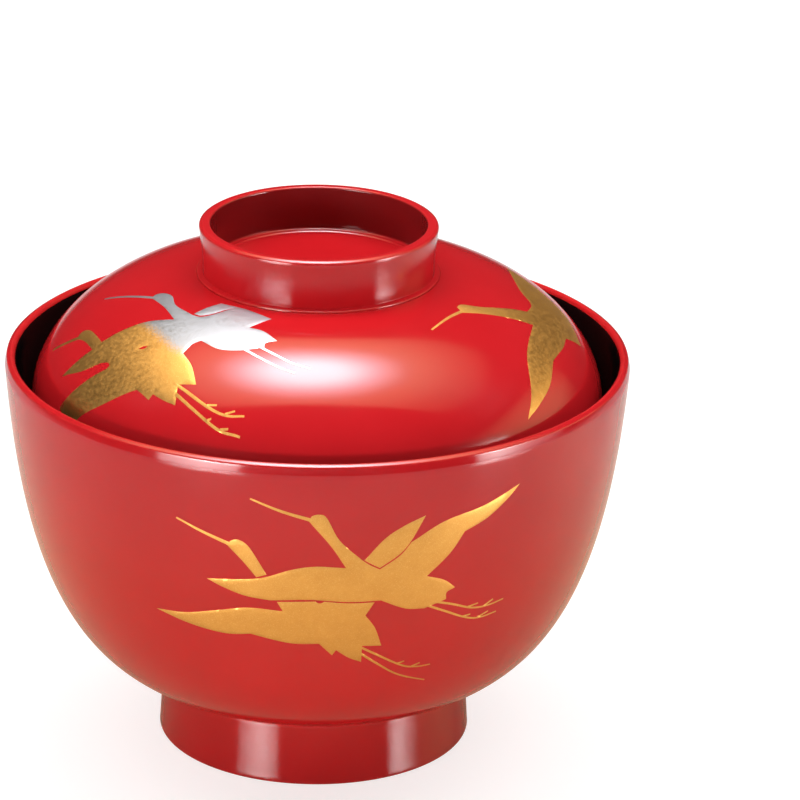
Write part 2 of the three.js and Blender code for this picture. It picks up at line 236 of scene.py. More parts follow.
def turned_wood():
    """Pale close-grained wood: year rings across the blank, and fine lines from the lathe tool."""
    material, nodes, link, shader, place = new_material("turned_wood")
    rings = nodes.new("ShaderNodeTexWave")
    rings.bands_direction = "X"
    rings.inputs["Scale"].default_value = 110
    rings.inputs["Distortion"].default_value = 5
    rings.inputs["Detail"].default_value = 3
    link(place, rings.inputs["Vector"])
    grain = mixed(nodes, link, rings.outputs["Fac"], WOOD_PALE, WOOD_DARK)
    link(grain, shader.inputs["Base Color"])
    tool_lines = noise(nodes, link, place, scale=900, detail=4)
    link(spread(nodes, link, tool_lines, low=0.5, high=0.75), shader.inputs["Roughness"])
    bumped(nodes, link, shader, rings.outputs["Fac"], distance=0.05 * MM, strength=0.4)
    return material


crease_height = RIM_HEIGHT - RIM_BAND_HEIGHT
belly = curve(
    [
        (FOOT_NECK_RADIUS, FOOT_HEIGHT),
        (FOOT_NECK_RADIUS + BELLY_RUN, FOOT_HEIGHT + BELLY_LIFT),
        (BOWL_RADIUS - FLANK_INSET, crease_height - FLANK_DROP),
        (BOWL_RADIUS, crease_height),
    ],
    steps=96,
)
crest_centre = (BOWL_RADIUS - RIM_BAND_LEAN - RIM_ROUND, RIM_HEIGHT - RIM_ROUND)
shoulder = arc(crest_centre, RIM_ROUND, RIM_SHOULDER, RIM_CREST_OUT, steps=5)
crest = eased(arc(crest_centre, RIM_ROUND, RIM_CREST_OUT, RIM_CREST_IN, steps=2), RIM_EASE, steps=10)
band_middle = (belly[-1] + shoulder[0]) / 2 + (RIM_BAND_SWELL, 0)
foot_edge_centre = (FOOT_RADIUS - FOOT_EDGE_ROUND, FOOT_EDGE_ROUND)
cove_start = (FOOT_WAIST_RADIUS, FOOT_HEIGHT - FOOT_COVE_HEIGHT)
bowl_outside = np.vstack(
    (
        arc(foot_edge_centre, FOOT_EDGE_ROUND, start=-90, end=0, steps=6),
        curve([(FOOT_RADIUS - FOOT_EDGE_STEP, 2 * FOOT_EDGE_ROUND), cove_start], steps=8),
        curve(
            [
                cove_start,
                (FOOT_WAIST_RADIUS, FOOT_HEIGHT - FOOT_COVE_BEND),
                (FOOT_NECK_RADIUS - FOOT_COVE_BEND, FOOT_HEIGHT - FOOT_COVE_LIP),
                (FOOT_NECK_RADIUS, FOOT_HEIGHT),
            ],
            steps=10,
        )[1:-1],
        belly,
        curve([belly[-1], band_middle, shoulder[0]], steps=14)[1:-1],
        shoulder,
        crest[1:],
        arc(crest_centre, RIM_ROUND, RIM_CREST_IN, end=180, steps=10)[1:],
    )
)
wall = RIM_WALL + (BOWL_WALL - RIM_WALL) * smooth_step((crease_height - belly[:, 1]) / LIP_TAPER)
inner_wall = inset(belly, wall)[::-1]
floor_height = FOOT_RECESS_DEPTH + BASE_THICKNESS
floor_edge = inner_wall[-1]
bowl_inside = np.vstack(
    (
        bowl_outside[-1:],
        inner_wall,
        curve([floor_edge, (floor_edge[0] / 2, floor_height), (0, floor_height)], steps=24)[1:],
    )
)
foot_inner = FOOT_RADIUS - FOOT_WALL
foot_recess = np.vstack(
    (
        curve([(0, FOOT_RECESS_DEPTH), (foot_inner - 2 * FOOT_EDGE_ROUND, FOOT_RECESS_DEPTH)], steps=8),
        curve(
            [
                (foot_inner - FOOT_EDGE_ROUND, FOOT_RECESS_DEPTH),
                (foot_inner, FOOT_RECESS_DEPTH),
                (foot_inner, FOOT_RECESS_DEPTH - FOOT_EDGE_ROUND),
            ],
            steps=6,
        ),
        [(foot_inner, 0)],
    )
)
outside_core = inset(bowl_outside, COAT)
outside_core[0] = (bowl_outside[0, 0] - COAT, 0)
inside_core = inset(bowl_inside, COAT)
inside_core[0] = outside_core[-1]
inside_core[-1] = (0, floor_height - COAT)
recess_core = inset(foot_recess, COAT)

wood = turned_wood()
bowl_core = turned("bowl_core_turned", np.vstack((recess_core, outside_core, inside_core[1:])))
bowl_core.data.materials.append(wood)
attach(bowl_core, "bowl")
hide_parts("bowl_core")

# Red lacquer on the bowl: vermilion pigment in many thin coats, rubbed down and polished.
# It covers the outside of the foot and the bowl and rolls over the rim to its inner edge.
VERMILION = (0.60, 0.013, 0.018)
VERMILION_DEEP = (0.54, 0.010, 0.014)
# Along sharp edges: lacquer worn thin with rubbing, painted lighter as a painted sheen.
VERMILION_THIN_SHEEN = (0.66, 0.035, 0.030)
# Darkened red for the inner wall of the lid's ring: painted shade.
VERMILION_IN_SHADE = (0.20, 0.009, 0.010)
LACQUER_IOR = 1.47


def attribute(nodes, name):
    """The share that the attribute gives at each point of the mesh, none where it isn't set."""
    node = nodes.new("ShaderNodeAttribute")
    node.attribute_name = name
    return node.outputs["Fac"]


def combined(nodes, link, operation, first, second):
    """Two values put together: their product or sum, or the higher or the lower of the two."""
    node = nodes.new("ShaderNodeMath")
    node.operation = operation
    link(first, node.inputs[0])
    link(second, node.inputs[1])
    return node.outputs["Value"]


def lacquer(name, plain, deep, thin_and_sheen, well_shade, gloss):
    """Polished lacquer: pigment that varies a little over the piece and, along sharp edges, wears thin
    with rubbing and is painted lighter there as a painted sheen, a clear surface with the faint
    waviness of hand polishing, and traces of rubbing. Where the attribute for the ring's inner wall is
    set, the colour is darkened with painted shade."""
    material, nodes, link, shader, place = new_material(name)
    cloud = spread(nodes, link, noise(nodes, link, place, scale=38, detail=3), low=0, high=1)
    body = mixed(nodes, link, cloud, plain, deep)
    rubbing = spread(nodes, link, noise(nodes, link, place, scale=400, detail=4), low=0.1, high=0.7)
    # Along sharp edges rubbing wears the lacquer thin, and the lighter colour there is partly a painted
    # sheen.
    worn_and_sheen = combined(nodes, link, "MULTIPLY", attribute(nodes, "edge"), rubbing)
    rubbed_and_sheen = mixed(nodes, link, worn_and_sheen, body, thin_and_sheen)
    # Painted shade on the inner wall of the ring, where the attribute for it is set.
    coat_colour_and_light = mixed(nodes, link, attribute(nodes, "well_shade"), rubbed_and_sheen, well_shade)
    link(coat_colour_and_light, shader.inputs["Base Color"])
    polish = noise(nodes, link, place, scale=60, detail=5, roughness=0.65)
    link(spread(nodes, link, polish, low=0.09, high=0.15), shader.inputs["Roughness"])
    shader.inputs["IOR"].default_value = LACQUER_IOR
    shader.inputs["Specular IOR Level"].default_value = gloss
    waves = noise(nodes, link, place, scale=260, detail=2)
    bumped(nodes, link, shader, waves, distance=0.02 * MM, strength=0.25)
    return material


red_lacquer = lacquer(
    "red_lacquer", VERMILION, VERMILION_DEEP, VERMILION_THIN_SHEEN, VERMILION_IN_SHADE, gloss=0.5
)
bowl_red = turned("bowl_red_coat", np.vstack((bowl_outside, outside_core[::-1])))
bowl_red.data.materials.append(red_lacquer)
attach(bowl_red, "bowl")
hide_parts("bowl_red_lacquer")

# Black lacquer: the same lacquer darkened with iron, inside the bowl and under its foot.
# It meets the red in a clean line at the inner edge of the rim.
BLACK = (0.0035, 0.0033, 0.0035)
BLACK_DEEP = (0.0022, 0.0021, 0.0022)
# Along sharp edges: black worn thin with rubbing, painted lighter as a painted sheen.
BLACK_THIN_SHEEN = (0.012, 0.007, 0.006)
black_lacquer = lacquer("black_lacquer", BLACK, BLACK_DEEP, BLACK_THIN_SHEEN, BLACK_DEEP, gloss=0.04)
bowl_black = turned("bowl_black_coat", np.vstack((inside_core[::-1], bowl_inside)))
bowl_black.data.materials.append(black_lacquer)
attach(bowl_black, "bowl")
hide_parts("bowl_black_lacquer")
foot_black = turned("foot_black_coat", np.vstack((foot_recess, recess_core[::-1])))
foot_black.data.materials.append(black_lacquer)
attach(foot_black, "bowl")
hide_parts("foot_black_lacquer")

# Lid core: turned like the bowl, with the ring that it is lifted by in the same piece. The ring has
# a fine bead in a groove at its foot, a wall that flares from a drawn-in waist up to a flattened
# lip, and a well inside with a low ledge round its floor.
LID_LOW, LID_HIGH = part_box("lid_red_lacquer")
LID_RADIUS = 50.29 * MM
LID_EDGE_WALL = 2.6 * MM
LID_WALL = 3.6 * MM
LID_CROWN_WALL = 4.2 * MM
DOME_SIDE_HEIGHT = 15.4 * MM
DOME_SIDE_SWELL = 2.3 * MM
DOME_CROWN_REACH = 12.2 * MM
DOME_CROWN_LIFT = 0.4 * MM
RING_TOP = LID_HIGH.z
RING_HEIGHT = 9.2 * MM
RING_BEAD_RADIUS = 21.2 * MM
RING_BEAD_HEIGHT = 0.5 * MM
RING_BEAD_OUT = 0.15 * MM
RING_BEAD_SINK = 0.17 * MM
RING_WAIST_RADIUS = 20.42 * MM
RING_WAIST_HEIGHT = 3.9 * MM
RING_LIP_RADIUS = 21.0 * MM
RING_LIP_WIDTH = 2.0 * MM
RING_LIP_ROUND = 0.7 * MM
RING_LIP_EASE = 0.4 * MM
RING_LIP_FLAT = 0.09 * MM
RING_FLAT_OUT, RING_FLAT_IN = 34, 88  # degrees round the top of the lip
RING_WELL_DEPTH = 8.0 * MM
RING_WELL_TAPER = 0.3 * MM
RING_WELL_FILLET = 0.5 * MM
RING_WELL_LEDGE = 1.1 * MM
RING_WELL_STEP = 0.22 * MM

edge_round = LID_EDGE_WALL / 2
seat_height = LID_LOW.z + edge_round
ring_foot = RING_TOP - RING_HEIGHT
well_floor = RING_TOP - RING_WELL_DEPTH
lip_inner = RING_LIP_RADIUS - RING_LIP_WIDTH
well_radius = lip_inner - RING_WELL_TAPER
ledge_radius = well_radius - RING_WELL_LEDGE
ledge_height = well_floor + RING_WELL_STEP
bead_round = RING_BEAD_HEIGHT / 2
bead_edge = RING_BEAD_RADIUS + RING_BEAD_OUT
bead_centre = (bead_edge - bead_round, ring_foot + bead_round - RING_BEAD_SINK)
lip_centre = (RING_LIP_RADIUS - RING_LIP_ROUND, RING_TOP - RING_LIP_ROUND)
lip_flat = arc(lip_centre, RING_LIP_ROUND, RING_FLAT_OUT, RING_FLAT_IN, steps=2)
lip_inner_centre = (lip_inner + RING_LIP_EASE, RING_TOP - RING_LIP_EASE)
dome = curve(
    [
        (LID_RADIUS, seat_height),
        (LID_RADIUS + DOME_SIDE_SWELL, seat_height + DOME_SIDE_HEIGHT),
        (RING_BEAD_RADIUS + DOME_CROWN_REACH, ring_foot + DOME_CROWN_LIFT),
        (RING_BEAD_RADIUS, ring_foot),
    ],
    steps=84,
)
lid_top = np.vstack(
    (
        arc((LID_RADIUS - edge_round, seat_height), edge_round, start=180, end=360, steps=14)[:-1],
        dome[:-1],
        curve([dome[-2], (bead_edge, ring_foot), (bead_edge, ring_foot - RING_BEAD_SINK)], steps=5)[1:],
        arc(bead_centre, bead_round, start=-50, end=80, steps=8),
        curve(
            [
                (RING_WAIST_RADIUS, ring_foot + RING_BEAD_HEIGHT),
                (RING_WAIST_RADIUS, ring_foot + RING_WAIST_HEIGHT),
                (RING_LIP_RADIUS, RING_TOP - RING_LIP_ROUND),
            ],
            steps=24,
        ),
        arc(lip_centre, RING_LIP_ROUND, 0, RING_FLAT_OUT, steps=4)[1:],
        eased(lip_flat, RING_LIP_FLAT, steps=8)[1:],
        arc(lip_inner_centre, RING_LIP_EASE, start=94, end=180, steps=8),
        curve(
            [
                (well_radius, ledge_height + RING_WELL_FILLET),
                (well_radius, ledge_height),
                (well_radius - RING_WELL_FILLET, ledge_height),
            ],
            steps=8,
        ),
        curve(
            [
                (ledge_radius + RING_WELL_STEP, ledge_height),
                (ledge_radius, ledge_height),
                (ledge_radius, well_floor),
                (ledge_radius - 2 * RING_WELL_STEP, well_floor),
            ],
            steps=10,
        ),
        curve([(ledge_radius - 4 * RING_WELL_STEP, well_floor), (0, well_floor)], steps=12),
    )
)
dome_rise = smooth_step((dome[:, 1] - seat_height) / DOME_SIDE_HEIGHT)
lid_wall = LID_EDGE_WALL + (LID_WALL - LID_EDGE_WALL) * dome_rise
lid_under_dome = inset(dome, lid_wall)[1:][::-1]
lid_crown = (0, well_floor - LID_CROWN_WALL)
crown_middle = (lid_under_dome[0, 0] / 2, lid_crown[1])
lid_ceiling = curve([lid_crown, crown_middle, lid_under_dome[0]], steps=16)[:-1]
lid_under = np.vstack((lid_ceiling, lid_under_dome, lid_top[:1]))
lid_top_core = inset(lid_top, COAT)
lid_top_core[-1] = (0, well_floor - COAT)
lid_under_core = inset(lid_under, COAT)
lid_under_core[0] = (0, lid_crown[1] + COAT)
lid_under_core[-1] = lid_top_core[0]
lid_core = turned("lid_core_turned", np.vstack((lid_under_core, lid_top_core[1:])))
lid_core.data.materials.append(wood)
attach(lid_core, "lid")
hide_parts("lid_core")


# Red lacquer on the lid, over the dome, the ring and the well, and round its lower edge.
# On the inner wall of the ring its colour is darkened with painted shade, for the shade deep inside the
# ring.
def mark(piece, name, share):
    """Gives each point of the piece the attribute name, a share worked out from its place."""
    places = np.empty(len(piece.data.vertices) * 3, np.float32)
    piece.data.vertices.foreach_get("co", places)
    values = share(places.reshape(-1, 3)).astype(np.float32)
    piece.data.attributes.new(name, "FLOAT", "POINT").data.foreach_set("value", values)


def shade_mask_in_ring(places):
    """The share of painted shade: one on the inner wall of the ring, falling to none over the lip above
    and the fillet below.
    """
    height = places[:, 2]
    below_lip = smooth_step((RING_TOP - height) / RING_LIP_EASE)
    above_floor = smooth_step((height - ledge_height) / RING_WELL_FILLET)
    return below_lip * above_floor * (np.hypot(places[:, 0], places[:, 1]) < lip_inner + COAT / 2)


lid_red = turned("lid_red_coat", np.vstack((lid_top_core[::-1], lid_top)))
# Marks where painted shade darkens the lacquer inside the ring.
mark(lid_red, "well_shade", shade_mask_in_ring)
lid_red.data.materials.append(red_lacquer)
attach(lid_red, "lid")
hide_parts("lid_red_lacquer")

# Black lacquer under the lid, the same as inside the bowl.
# It meets the red round the inner side of the edge that the lid rests on.
lid_black = turned("lid_black_coat", np.vstack((lid_under, lid_under_core[::-1])))
lid_black.data.materials.append(black_lacquer)
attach(lid_black, "lid")
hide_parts("lid_black_lacquer")

# Gold on the bowl: powder sprinkled on fresh lacquer inside a brushed outline, then burnished.
# Two cranes fly to the left, the second partly under the wing of the first. The drawing is in
# millimetres as seen from the front, across and up from the rim; each stroke ends at a corner.
GOLD_COAT = 0.07 * MM
GOLD_SUNK = 0.03 * MM
GOLD_EDGE = 0.22  # share of the coat that is left at its edge
GOLD_GRID = 0.55  # millimetres, as drawn
GOLD_GRID_ROW = 0.866 * GOLD_GRID
GOLD_GRID_CLEAR = 0.5 * GOLD_GRID
POINTS_MEET = 1e-5
STROKE_STEPS = 7
BILL_ROOT, BILL_TIP = 0.65, 0.3
LEG_ROOT, LEG_TIP = 0.46, 0.24
TOE_WIDTH = 0.3
GOLD = (0.73, 0.385, 0.10)
GOLD_DARK = (0.67, 0.34, 0.085)
GOLD_PALE = (0.82, 0.51, 0.17)
SILVER = (0.41, 0.415, 0.455)


def spline(points, steps):
    """A smooth line through the points. Each stretch is the cubic that runs, at either end, along the
    line between the neighbours of that end, and the line goes straight on past its own ends."""
    points = np.array(points, float)
    ends = np.vstack((2 * points[0] - points[1], points, 2 * points[-1] - points[-2]))
    t = np.linspace(0, 1, steps, endpoint=False)[:, None, None]
    before, start, end, after = ends[:-3], ends[1:-2], ends[2:-1], ends[3:]
    bend = 2 * before - 5 * start + 4 * end - after
    twist = 3 * start - before - 3 * end + after
    cubic = 2 * start + (end - before) * t + bend * t**2 + twist * t**3
    return np.vstack((np.swapaxes(cubic / 2, 0, 1).reshape(-1, 2), points[-1:]))


def outline(start, *strokes):
    """A closed outline of smooth strokes, each from the last corner to its own."""
    corners = [start] + [stroke[-1] for stroke in strokes]
    lines = [spline([corner, *stroke], STROKE_STEPS) for corner, stroke in zip(corners, strokes)]
    return np.vstack([line[:-1] for line in lines])


def brushed(points, root, tip):
    """A band along a smooth line, root wide at its start and tip wide at its end."""
    line = spline(points, STROKE_STEPS)
    half = np.linspace(root, tip, len(line)) / 2
    return np.vstack((inset(line, -half), inset(line, half)[::-1]))


def bill(*points):
    """A band as wide as a bill along the points."""
    return brushed(points, BILL_ROOT, BILL_TIP)


def leg(*points):
    """A band as wide as a leg along the points."""
    return brushed(points, LEG_ROOT, LEG_TIP)


def toe(*points):
    """A band as wide as a toe along the points."""
    return brushed(points, TOE_WIDTH, LEG_TIP)


def gold_powder():
    """Burnished gold powder: a metal with a fine grain, a little uneven in depth and colour. Silver
    powder takes its place by the attribute silver, grain by grain where the two meet."""
    material, nodes, link, shader, place = new_material("gold_powder")
    grain = noise(nodes, link, place, scale=5200, detail=2)
    clouds = noise(nodes, link, place, scale=300, detail=4, roughness=0.6)
    body = mixed(nodes, link, spread(nodes, link, clouds, low=0, high=1), GOLD, GOLD_DARK)
    speck = spread(nodes, link, grain, low=0, high=0.8, from_low=0.52, from_high=0.75)
    grains = combined(nodes, link, "ADD", attribute(nodes, "silver"), grain)
    share = spread(nodes, link, grains, low=0, high=1, from_low=0.75, from_high=1.25)
    powder = mixed(nodes, link, share, mixed(nodes, link, speck, body, GOLD_PALE), SILVER)
    link(powder, shader.inputs["Base Color"])
    burnish = noise(nodes, link, place, scale=1500, detail=3)
    link(spread(nodes, link, burnish, low=0.39, high=0.51), shader.inputs["Roughness"])
    shader.inputs["Metallic"].default_value = 1.0
    bumped(nodes, link, shader, grain, distance=0.03 * MM, strength=0.5)
    return material


def counter_clockwise(line):
    """The closed line, turned round where the sign of its area says that it runs clockwise."""
    after = np.roll(line, -1, axis=0)
    area = (line[:, 0] * after[:, 1] - after[:, 0] * line[:, 1]).sum()
    return line if area > 0 else line[::-1]


def distance_to(points, lines):
    """The distance from each point to the nearest of the closed lines' points."""
    marks = np.vstack(lines)
    return np.sqrt(((points[:, None] - marks[None]) ** 2).sum(axis=-1).min(axis=1))


def gold_film(name, shapes, surface, bare=()):
    """A thin coat of gold. The flat shapes, without the bare ones, are filled with triangles on an
    even grid and laid on the surface, a function from flat points to places and normals. The upper
    face stands GOLD_COAT above the lacquer and falls off at the edge, and the lower face lies just
    in the lacquer."""
    filled = len(shapes)
    shapes = [counter_clockwise(shape) for shape in (*shapes, *bare)]
    marks = np.vstack(shapes)
    low, high = marks.min(axis=0), marks.max(axis=0)
    columns, rows = np.meshgrid(
        np.arange(low[0], high[0], GOLD_GRID), np.arange(low[1], high[1], GOLD_GRID_ROW)
    )
    columns[::2] += GOLD_GRID / 2
    grid = np.column_stack((columns.ravel(), rows.ravel()))
    grid = grid[distance_to(grid, shapes) > GOLD_GRID_CLEAR]
    ends = np.cumsum([0] + [len(shape) for shape in shapes])
    loops = [list(range(start, end)) for start, end in zip(ends[:-1], ends[1:])]
    flat, _, triangles, _, _, sources = delaunay_2d_cdt(
        [Vector(point) for point in np.vstack((marks, grid))], [], loops, 0, POINTS_MEET
    )
    flat = np.array([tuple(point) for point in flat])
    golden = [source and max(source) < filled for source in sources]
    triangles = np.array([face for face, kept in zip(triangles, golden) if kept])
    used, triangles = np.unique(triangles, return_inverse=True)
    flat, triangles = flat[used], triangles.reshape(-1, 3)
    place, normal = surface(flat * MM)
    sides = np.vstack((triangles[:, [0, 1]], triangles[:, [1, 2]], triangles[:, [2, 0]]))
    keys = np.sort(sides, axis=1)
    _, first, count = np.unique(keys, axis=0, return_index=True, return_counts=True)
    rim = sides[first[count == 1]]
    fall = np.full(len(flat), GOLD_COAT)
    fall[np.unique(rim)] *= GOLD_EDGE
    upper = place + normal * fall[:, None]
    lower = place - normal * GOLD_SUNK
    half = len(flat)
    walls = np.column_stack((rim[:, 1], rim[:, 0], rim[:, 0] + half, rim[:, 1] + half))
    faces = triangles.tolist() + (triangles[:, ::-1] + half).tolist() + walls.tolist()
    mesh = bpy.data.meshes.new(name)
    mesh.from_pydata(np.vstack((upper, lower)).tolist(), [], faces)
    film = add_mesh(name, mesh)
    film.data.materials.append(gold)
    return film


def on_line(line, key, value):
    """Where a turned line has the key coordinate at value: the other coordinate, and the outward
    normal across the line."""
    order = np.argsort(line[:, key])
    along = np.gradient(line, axis=0)
    out = np.column_stack((along[:, 1], -along[:, 0]))
    out /= np.linalg.norm(out, axis=1)[:, None]
    columns = (line[:, 1 - key], out[:, 0], out[:, 1])
    return [np.interp(value, line[order, key], column[order]) for column in columns]


def on_bowl(flat):
    """A point across and up from the rim goes straight back on to the front of the belly."""
    across, height = flat[:, 0], flat[:, 1] + RIM_HEIGHT
    radius, out, up = on_line(belly, 1, height)
    back = -np.sqrt(radius**2 - across**2)
    place = np.column_stack((across, back, height))
    return place, np.column_stack((across / radius * out, back / radius * out, up))


gold = gold_powder()
bowl_cranes = {
    "bowl_crane_lead": [
        outline(
            (-1.1, -10.2),
            [(-0.6, -9.2), (0.7, -8.9), (1.9, -9.6), (4.1, -13.9), (7.9, -17.8)],
            [(9.2, -18.8), (10.9, -19.8)],
            [(14.3, -17.4), (16.2, -15.0)],
            [(21.8, -11.8), (28.5, -10.2), (34.5, -7.8)],
            [(32.5, -10.0), (29.1, -12.7), (25.2, -14.5)],
            [(22.8, -18.2), (18.9, -22.1)],
            [(21.9, -23.4), (23.8, -25.3)],
            [(22.4, -26.0), (22.3, -27.4)],
            [(18.6, -28.6)],
            [(15.3, -28.1), (11.2, -26.0)],
            [(6.0, -26.0), (-0.8, -25.5), (-7.6, -25.9)],
            [(-11.8, -25.4), (-15.7, -24.1), (-18.3, -22.9)],
            [(-9.6, -21.7), (-4.2, -19.7), (0.0, -18.9), (5.2, -19.2)],
            [(2.6, -14.9), (-1.1, -10.2)],
        ),
        bill((-0.6, -10.0), (-6.0, -8.4), (-11.0, -6.5)),
        leg((19.9, -27.4), (23.4, -28.7), (26.9, -30.4), (29.7, -30.7), (32.3, -30.3)),
        toe((28.8, -30.7), (30.5, -29.7)),
        toe((26.0, -30.0), (27.9, -29.7)),
        leg((17.9, -27.4), (22.2, -29.9), (25.9, -32.2), (28.3, -32.9), (31.1, -32.6)),
        toe((27.8, -32.8), (29.7, -32.0)),
        toe((25.3, -31.8), (26.6, -31.7)),
    ],
    "bowl_crane_far_wing": [
        outline(
            (8.3, -17.85),
            [(11.7, -13.9), (15.0, -11.7), (18.5, -10.2)],
            [(16.2, -14.65), (14.2, -17.15), (10.9, -19.5)],
            [(9.4, -18.6), (8.3, -17.85)],
        ),
    ],
    "bowl_crane_follower": [
        outline(
            (-6.4, -26.15),
            [(-3.0, -25.95), (0.1, -25.8)],
            [(0.5, -26.1), (0.9, -26.2), (1.2, -26.1), (1.6, -25.85)],
            [(6.0, -26.27), (10.1, -26.3)],
            [(8.6, -28.9)],
            [(10.3, -31.7), (11.4, -35.5)],
            [(8.1, -35.3)],
            [(8.0, -38.8)],
            [(5.8, -37.7), (3.7, -36.0)],
            [(3.0, -37.1)],
            [(0.8, -34.6)],
            [(-4.1, -34.6), (-10.8, -33.2)],
            [(-15.2, -33.7), (-21.2, -32.9), (-27.0, -31.3)],
            [(-22.1, -30.7), (-16.9, -29.2), (-11.3, -27.8), (-5.4, -28.0)],
            [(-6.4, -26.15)],
        ),
        leg((6.9, -34.9), (10.9, -37.6), (15.1, -40.5), (17.5, -41.2), (19.9, -41.2)),
        toe((16.6, -41.0), (18.1, -40.4)),
        toe((14.2, -39.9), (15.4, -39.5)),
        leg((6.8, -36.0), (10.9, -39.6), (14.4, -42.5), (19.0, -44.8)),
    ],
    "bowl_crane_follower_neck": [
        outline(
            (-14.9, -15.7),
            [(-14.0, -14.7), (-12.7, -14.6), (-11.0, -16.0), (-8.2, -20.85)],
            [(-9.9, -21.5)],
            [(-12.2, -18.6), (-14.9, -15.7)],
        ),
        bill((-14.3, -15.6), (-18.9, -13.9), (-23.5, -12.0)),
    ],
}
for node, shapes in bowl_cranes.items():
    film = gold_film(node + "_gold", shapes, on_bowl)
    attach(film, "bowl")
    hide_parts(node)

# Gold on the lid: a pair of cranes on the left, one over the other, and one alone on the right.
# The drawing is in millimetres as seen from above, across and back from the axis. The leading crane
# of the pair is sprinkled with silver, which gives way to gold across its wing.
SILVER_ENDS = (-26.6, -24.0), (-22.9, -29.3)
SILVER_WAYS = (0.870, 0.493), (0.707, 0.707)
SILVER_BLEND = 5.0


def on_lid(flat):
    """A point across and back from the axis drops straight on to the dome."""
    across, back = flat[:, 0], flat[:, 1]
    radius = np.hypot(across, back)
    crown = dome[np.argmax(dome[:, 0]):]
    height, out, up = on_line(crown, 0, radius)
    place = np.column_stack((across, back, height))
    return place, np.column_stack((across / radius * out, back / radius * out, up))


def silver_share(places):
    """The share of silver at each point: rising from none to all over SILVER_BLEND, by how far the
    point lies past both lines, each given by a point and the direction across it."""
    flat = places[:, :2] / MM
    past = [(flat - end) @ np.array(way) for end, way in zip(SILVER_ENDS, SILVER_WAYS)]
    return smooth_step(0.5 + np.min(past, axis=0) / SILVER_BLEND)


lid_cranes = {
    "lid_crane_pair": [
        outline(
            (-28.9, -10.3),
            [(-28.2, -9.4), (-26.8, -9.6), (-25.3, -11.5), (-24.5, -15.4), (-21.7, -19.6)],
            [(-20.2, -20.8), (-18.2, -20.75), (-16.2, -19.9), (-14.4, -18.8)],
            [(-16.3, -19.65), (-18.3, -20.45), (-20.1, -20.4), (-21.3, -19.5)],
            [(-19.3, -18.1), (-16.7, -16.7)],
            [(-12.6, -19.4), (-8.0, -23.7)],
            [(-11.7, -26.1)],
            [(-9.2, -27.6), (-6.9, -30.4)],
            [(-8.8, -30.7), (-9.1, -31.8)],
            [(-13.2, -31.7), (-16.9, -30.5), (-19.9, -27.6)],
            [(-21.4, -28.0), (-22.9, -29.5)],
            [(-21.4, -32.6), (-20.5, -36.4)],
            [(-23.6, -35.2)],
            [(-24.0, -38.2)],
            [(-26.0, -36.6), (-27.9, -34.7)],
            [(-28.6, -35.2)],
            [(-30.7, -32.4)],
            [(-36.5, -30.3), (-41.5, -27.2)],
            [(-43.5, -24.4), (-44.4, -21.8)],
            [(-41.0, -23.2), (-36.3, -24.7)],
            [(-35.7, -24.5), (-36.0, -23.6), (-37.1, -22.7)],
            [(-40.6, -20.9), (-44.2, -17.3)],
            [(-41.9, -17.6), (-38.9, -17.9)],
            [(-39.4, -16.6), (-40.5, -13.8), (-41.9, -11.4)],
            [(-41.2, -10.4), (-40.1, -11.0), (-39.0, -13.0), (-37.3, -17.6)],
            [(-33.3, -17.6), (-29.3, -18.1), (-24.7, -19.9)],
            [(-26.6, -14.9), (-28.9, -10.3)],
        ),
        bill((-28.1, -10.8), (-32.8, -6.8), (-37.4, -2.7)),
        bill((-41.2, -11.8), (-44.0, -9.4), (-46.3, -6.9)),
        leg((-10.6, -30.9), (-7.2, -33.6), (-4.3, -35.6), (-1.2, -36.8)),
        leg((-13.2, -30.9), (-10.1, -33.7), (-6.8, -36.1), (-3.8, -37.6)),
        leg((-25.2, -33.7), (-20.0, -39.1), (-17.1, -41.5), (-14.8, -42.7), (-12.2, -43.3)),
        toe((-15.5, -42.3), (-13.8, -42.3)),
        toe((-18.6, -40.2), (-16.9, -40.7)),
        leg((-25.3, -35.0), (-20.9, -40.0), (-16.8, -43.7), (-12.9, -45.5)),
        toe((-16.3, -43.9), (-14.9, -44.2)),
        toe((-18.5, -42.2), (-17.8, -42.2)),
    ],
    "lid_crane_single": [
        outline(
            (24.0, -15.1),
            [(24.9, -13.7), (28.9, -12.4), (36.5, -7.3)],
            [(37.3, -3.1), (35.3, 1.9), (33.5, 14.0)],
            [(39.5, 8.5), (44.0, 4.0), (46.3, -3.5)],
            [(43.4, -7.0)],
            [(42.7, -11.3), (40.8, -17.2)],
            [(40.1, -23.0), (38.2, -28.1), (36.1, -32.0)],
            [(36.7, -27.8), (36.1, -20.5), (37.4, -11.0)],
            [(32.4, -13.2), (25.0, -16.5)],
            [(24.0, -15.1)],
        ),
        bill((25.4, -15.4), (22.5, -19.3), (19.5, -24.2)),
    ],
}
# Left bare in the gold: a slit in the back of the crane that follows.
lid_bare = {
    "lid_crane_pair": [
        outline(
            (-30.7, -24.4),
            [(-29.9, -24.4), (-29.0, -24.7)],
            [(-29.5, -25.0), (-30.1, -24.9), (-30.7, -24.4)],
        ),
    ],
}
for node, shapes in lid_cranes.items():
    film = gold_film(node + "_gold", shapes, on_lid, lid_bare.get(node, ()))
    if node == "lid_crane_pair":
        mark(film, "silver", silver_share)
    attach(film, "lid")
    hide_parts(node)

# Table: a white sheet that turns up into a low wall all round, like a light tent.
# The camera and the gloss of the bowl see it as white, with a trace of the shadow. Near the bowl
# Near the bowl it is tinted warm for every ray but the camera's, a painted red bounce from the bowl, so
# its reflection in the lacquer is warmer; and at low angles it mirrors the boxes in front.
TABLE_FLAT = 1.3
TABLE_REACH = 2.2
TABLE_WALL = 0.75
TABLE_TURNS = 96
TABLE_WHITE = (0.95, 0.94, 0.93)
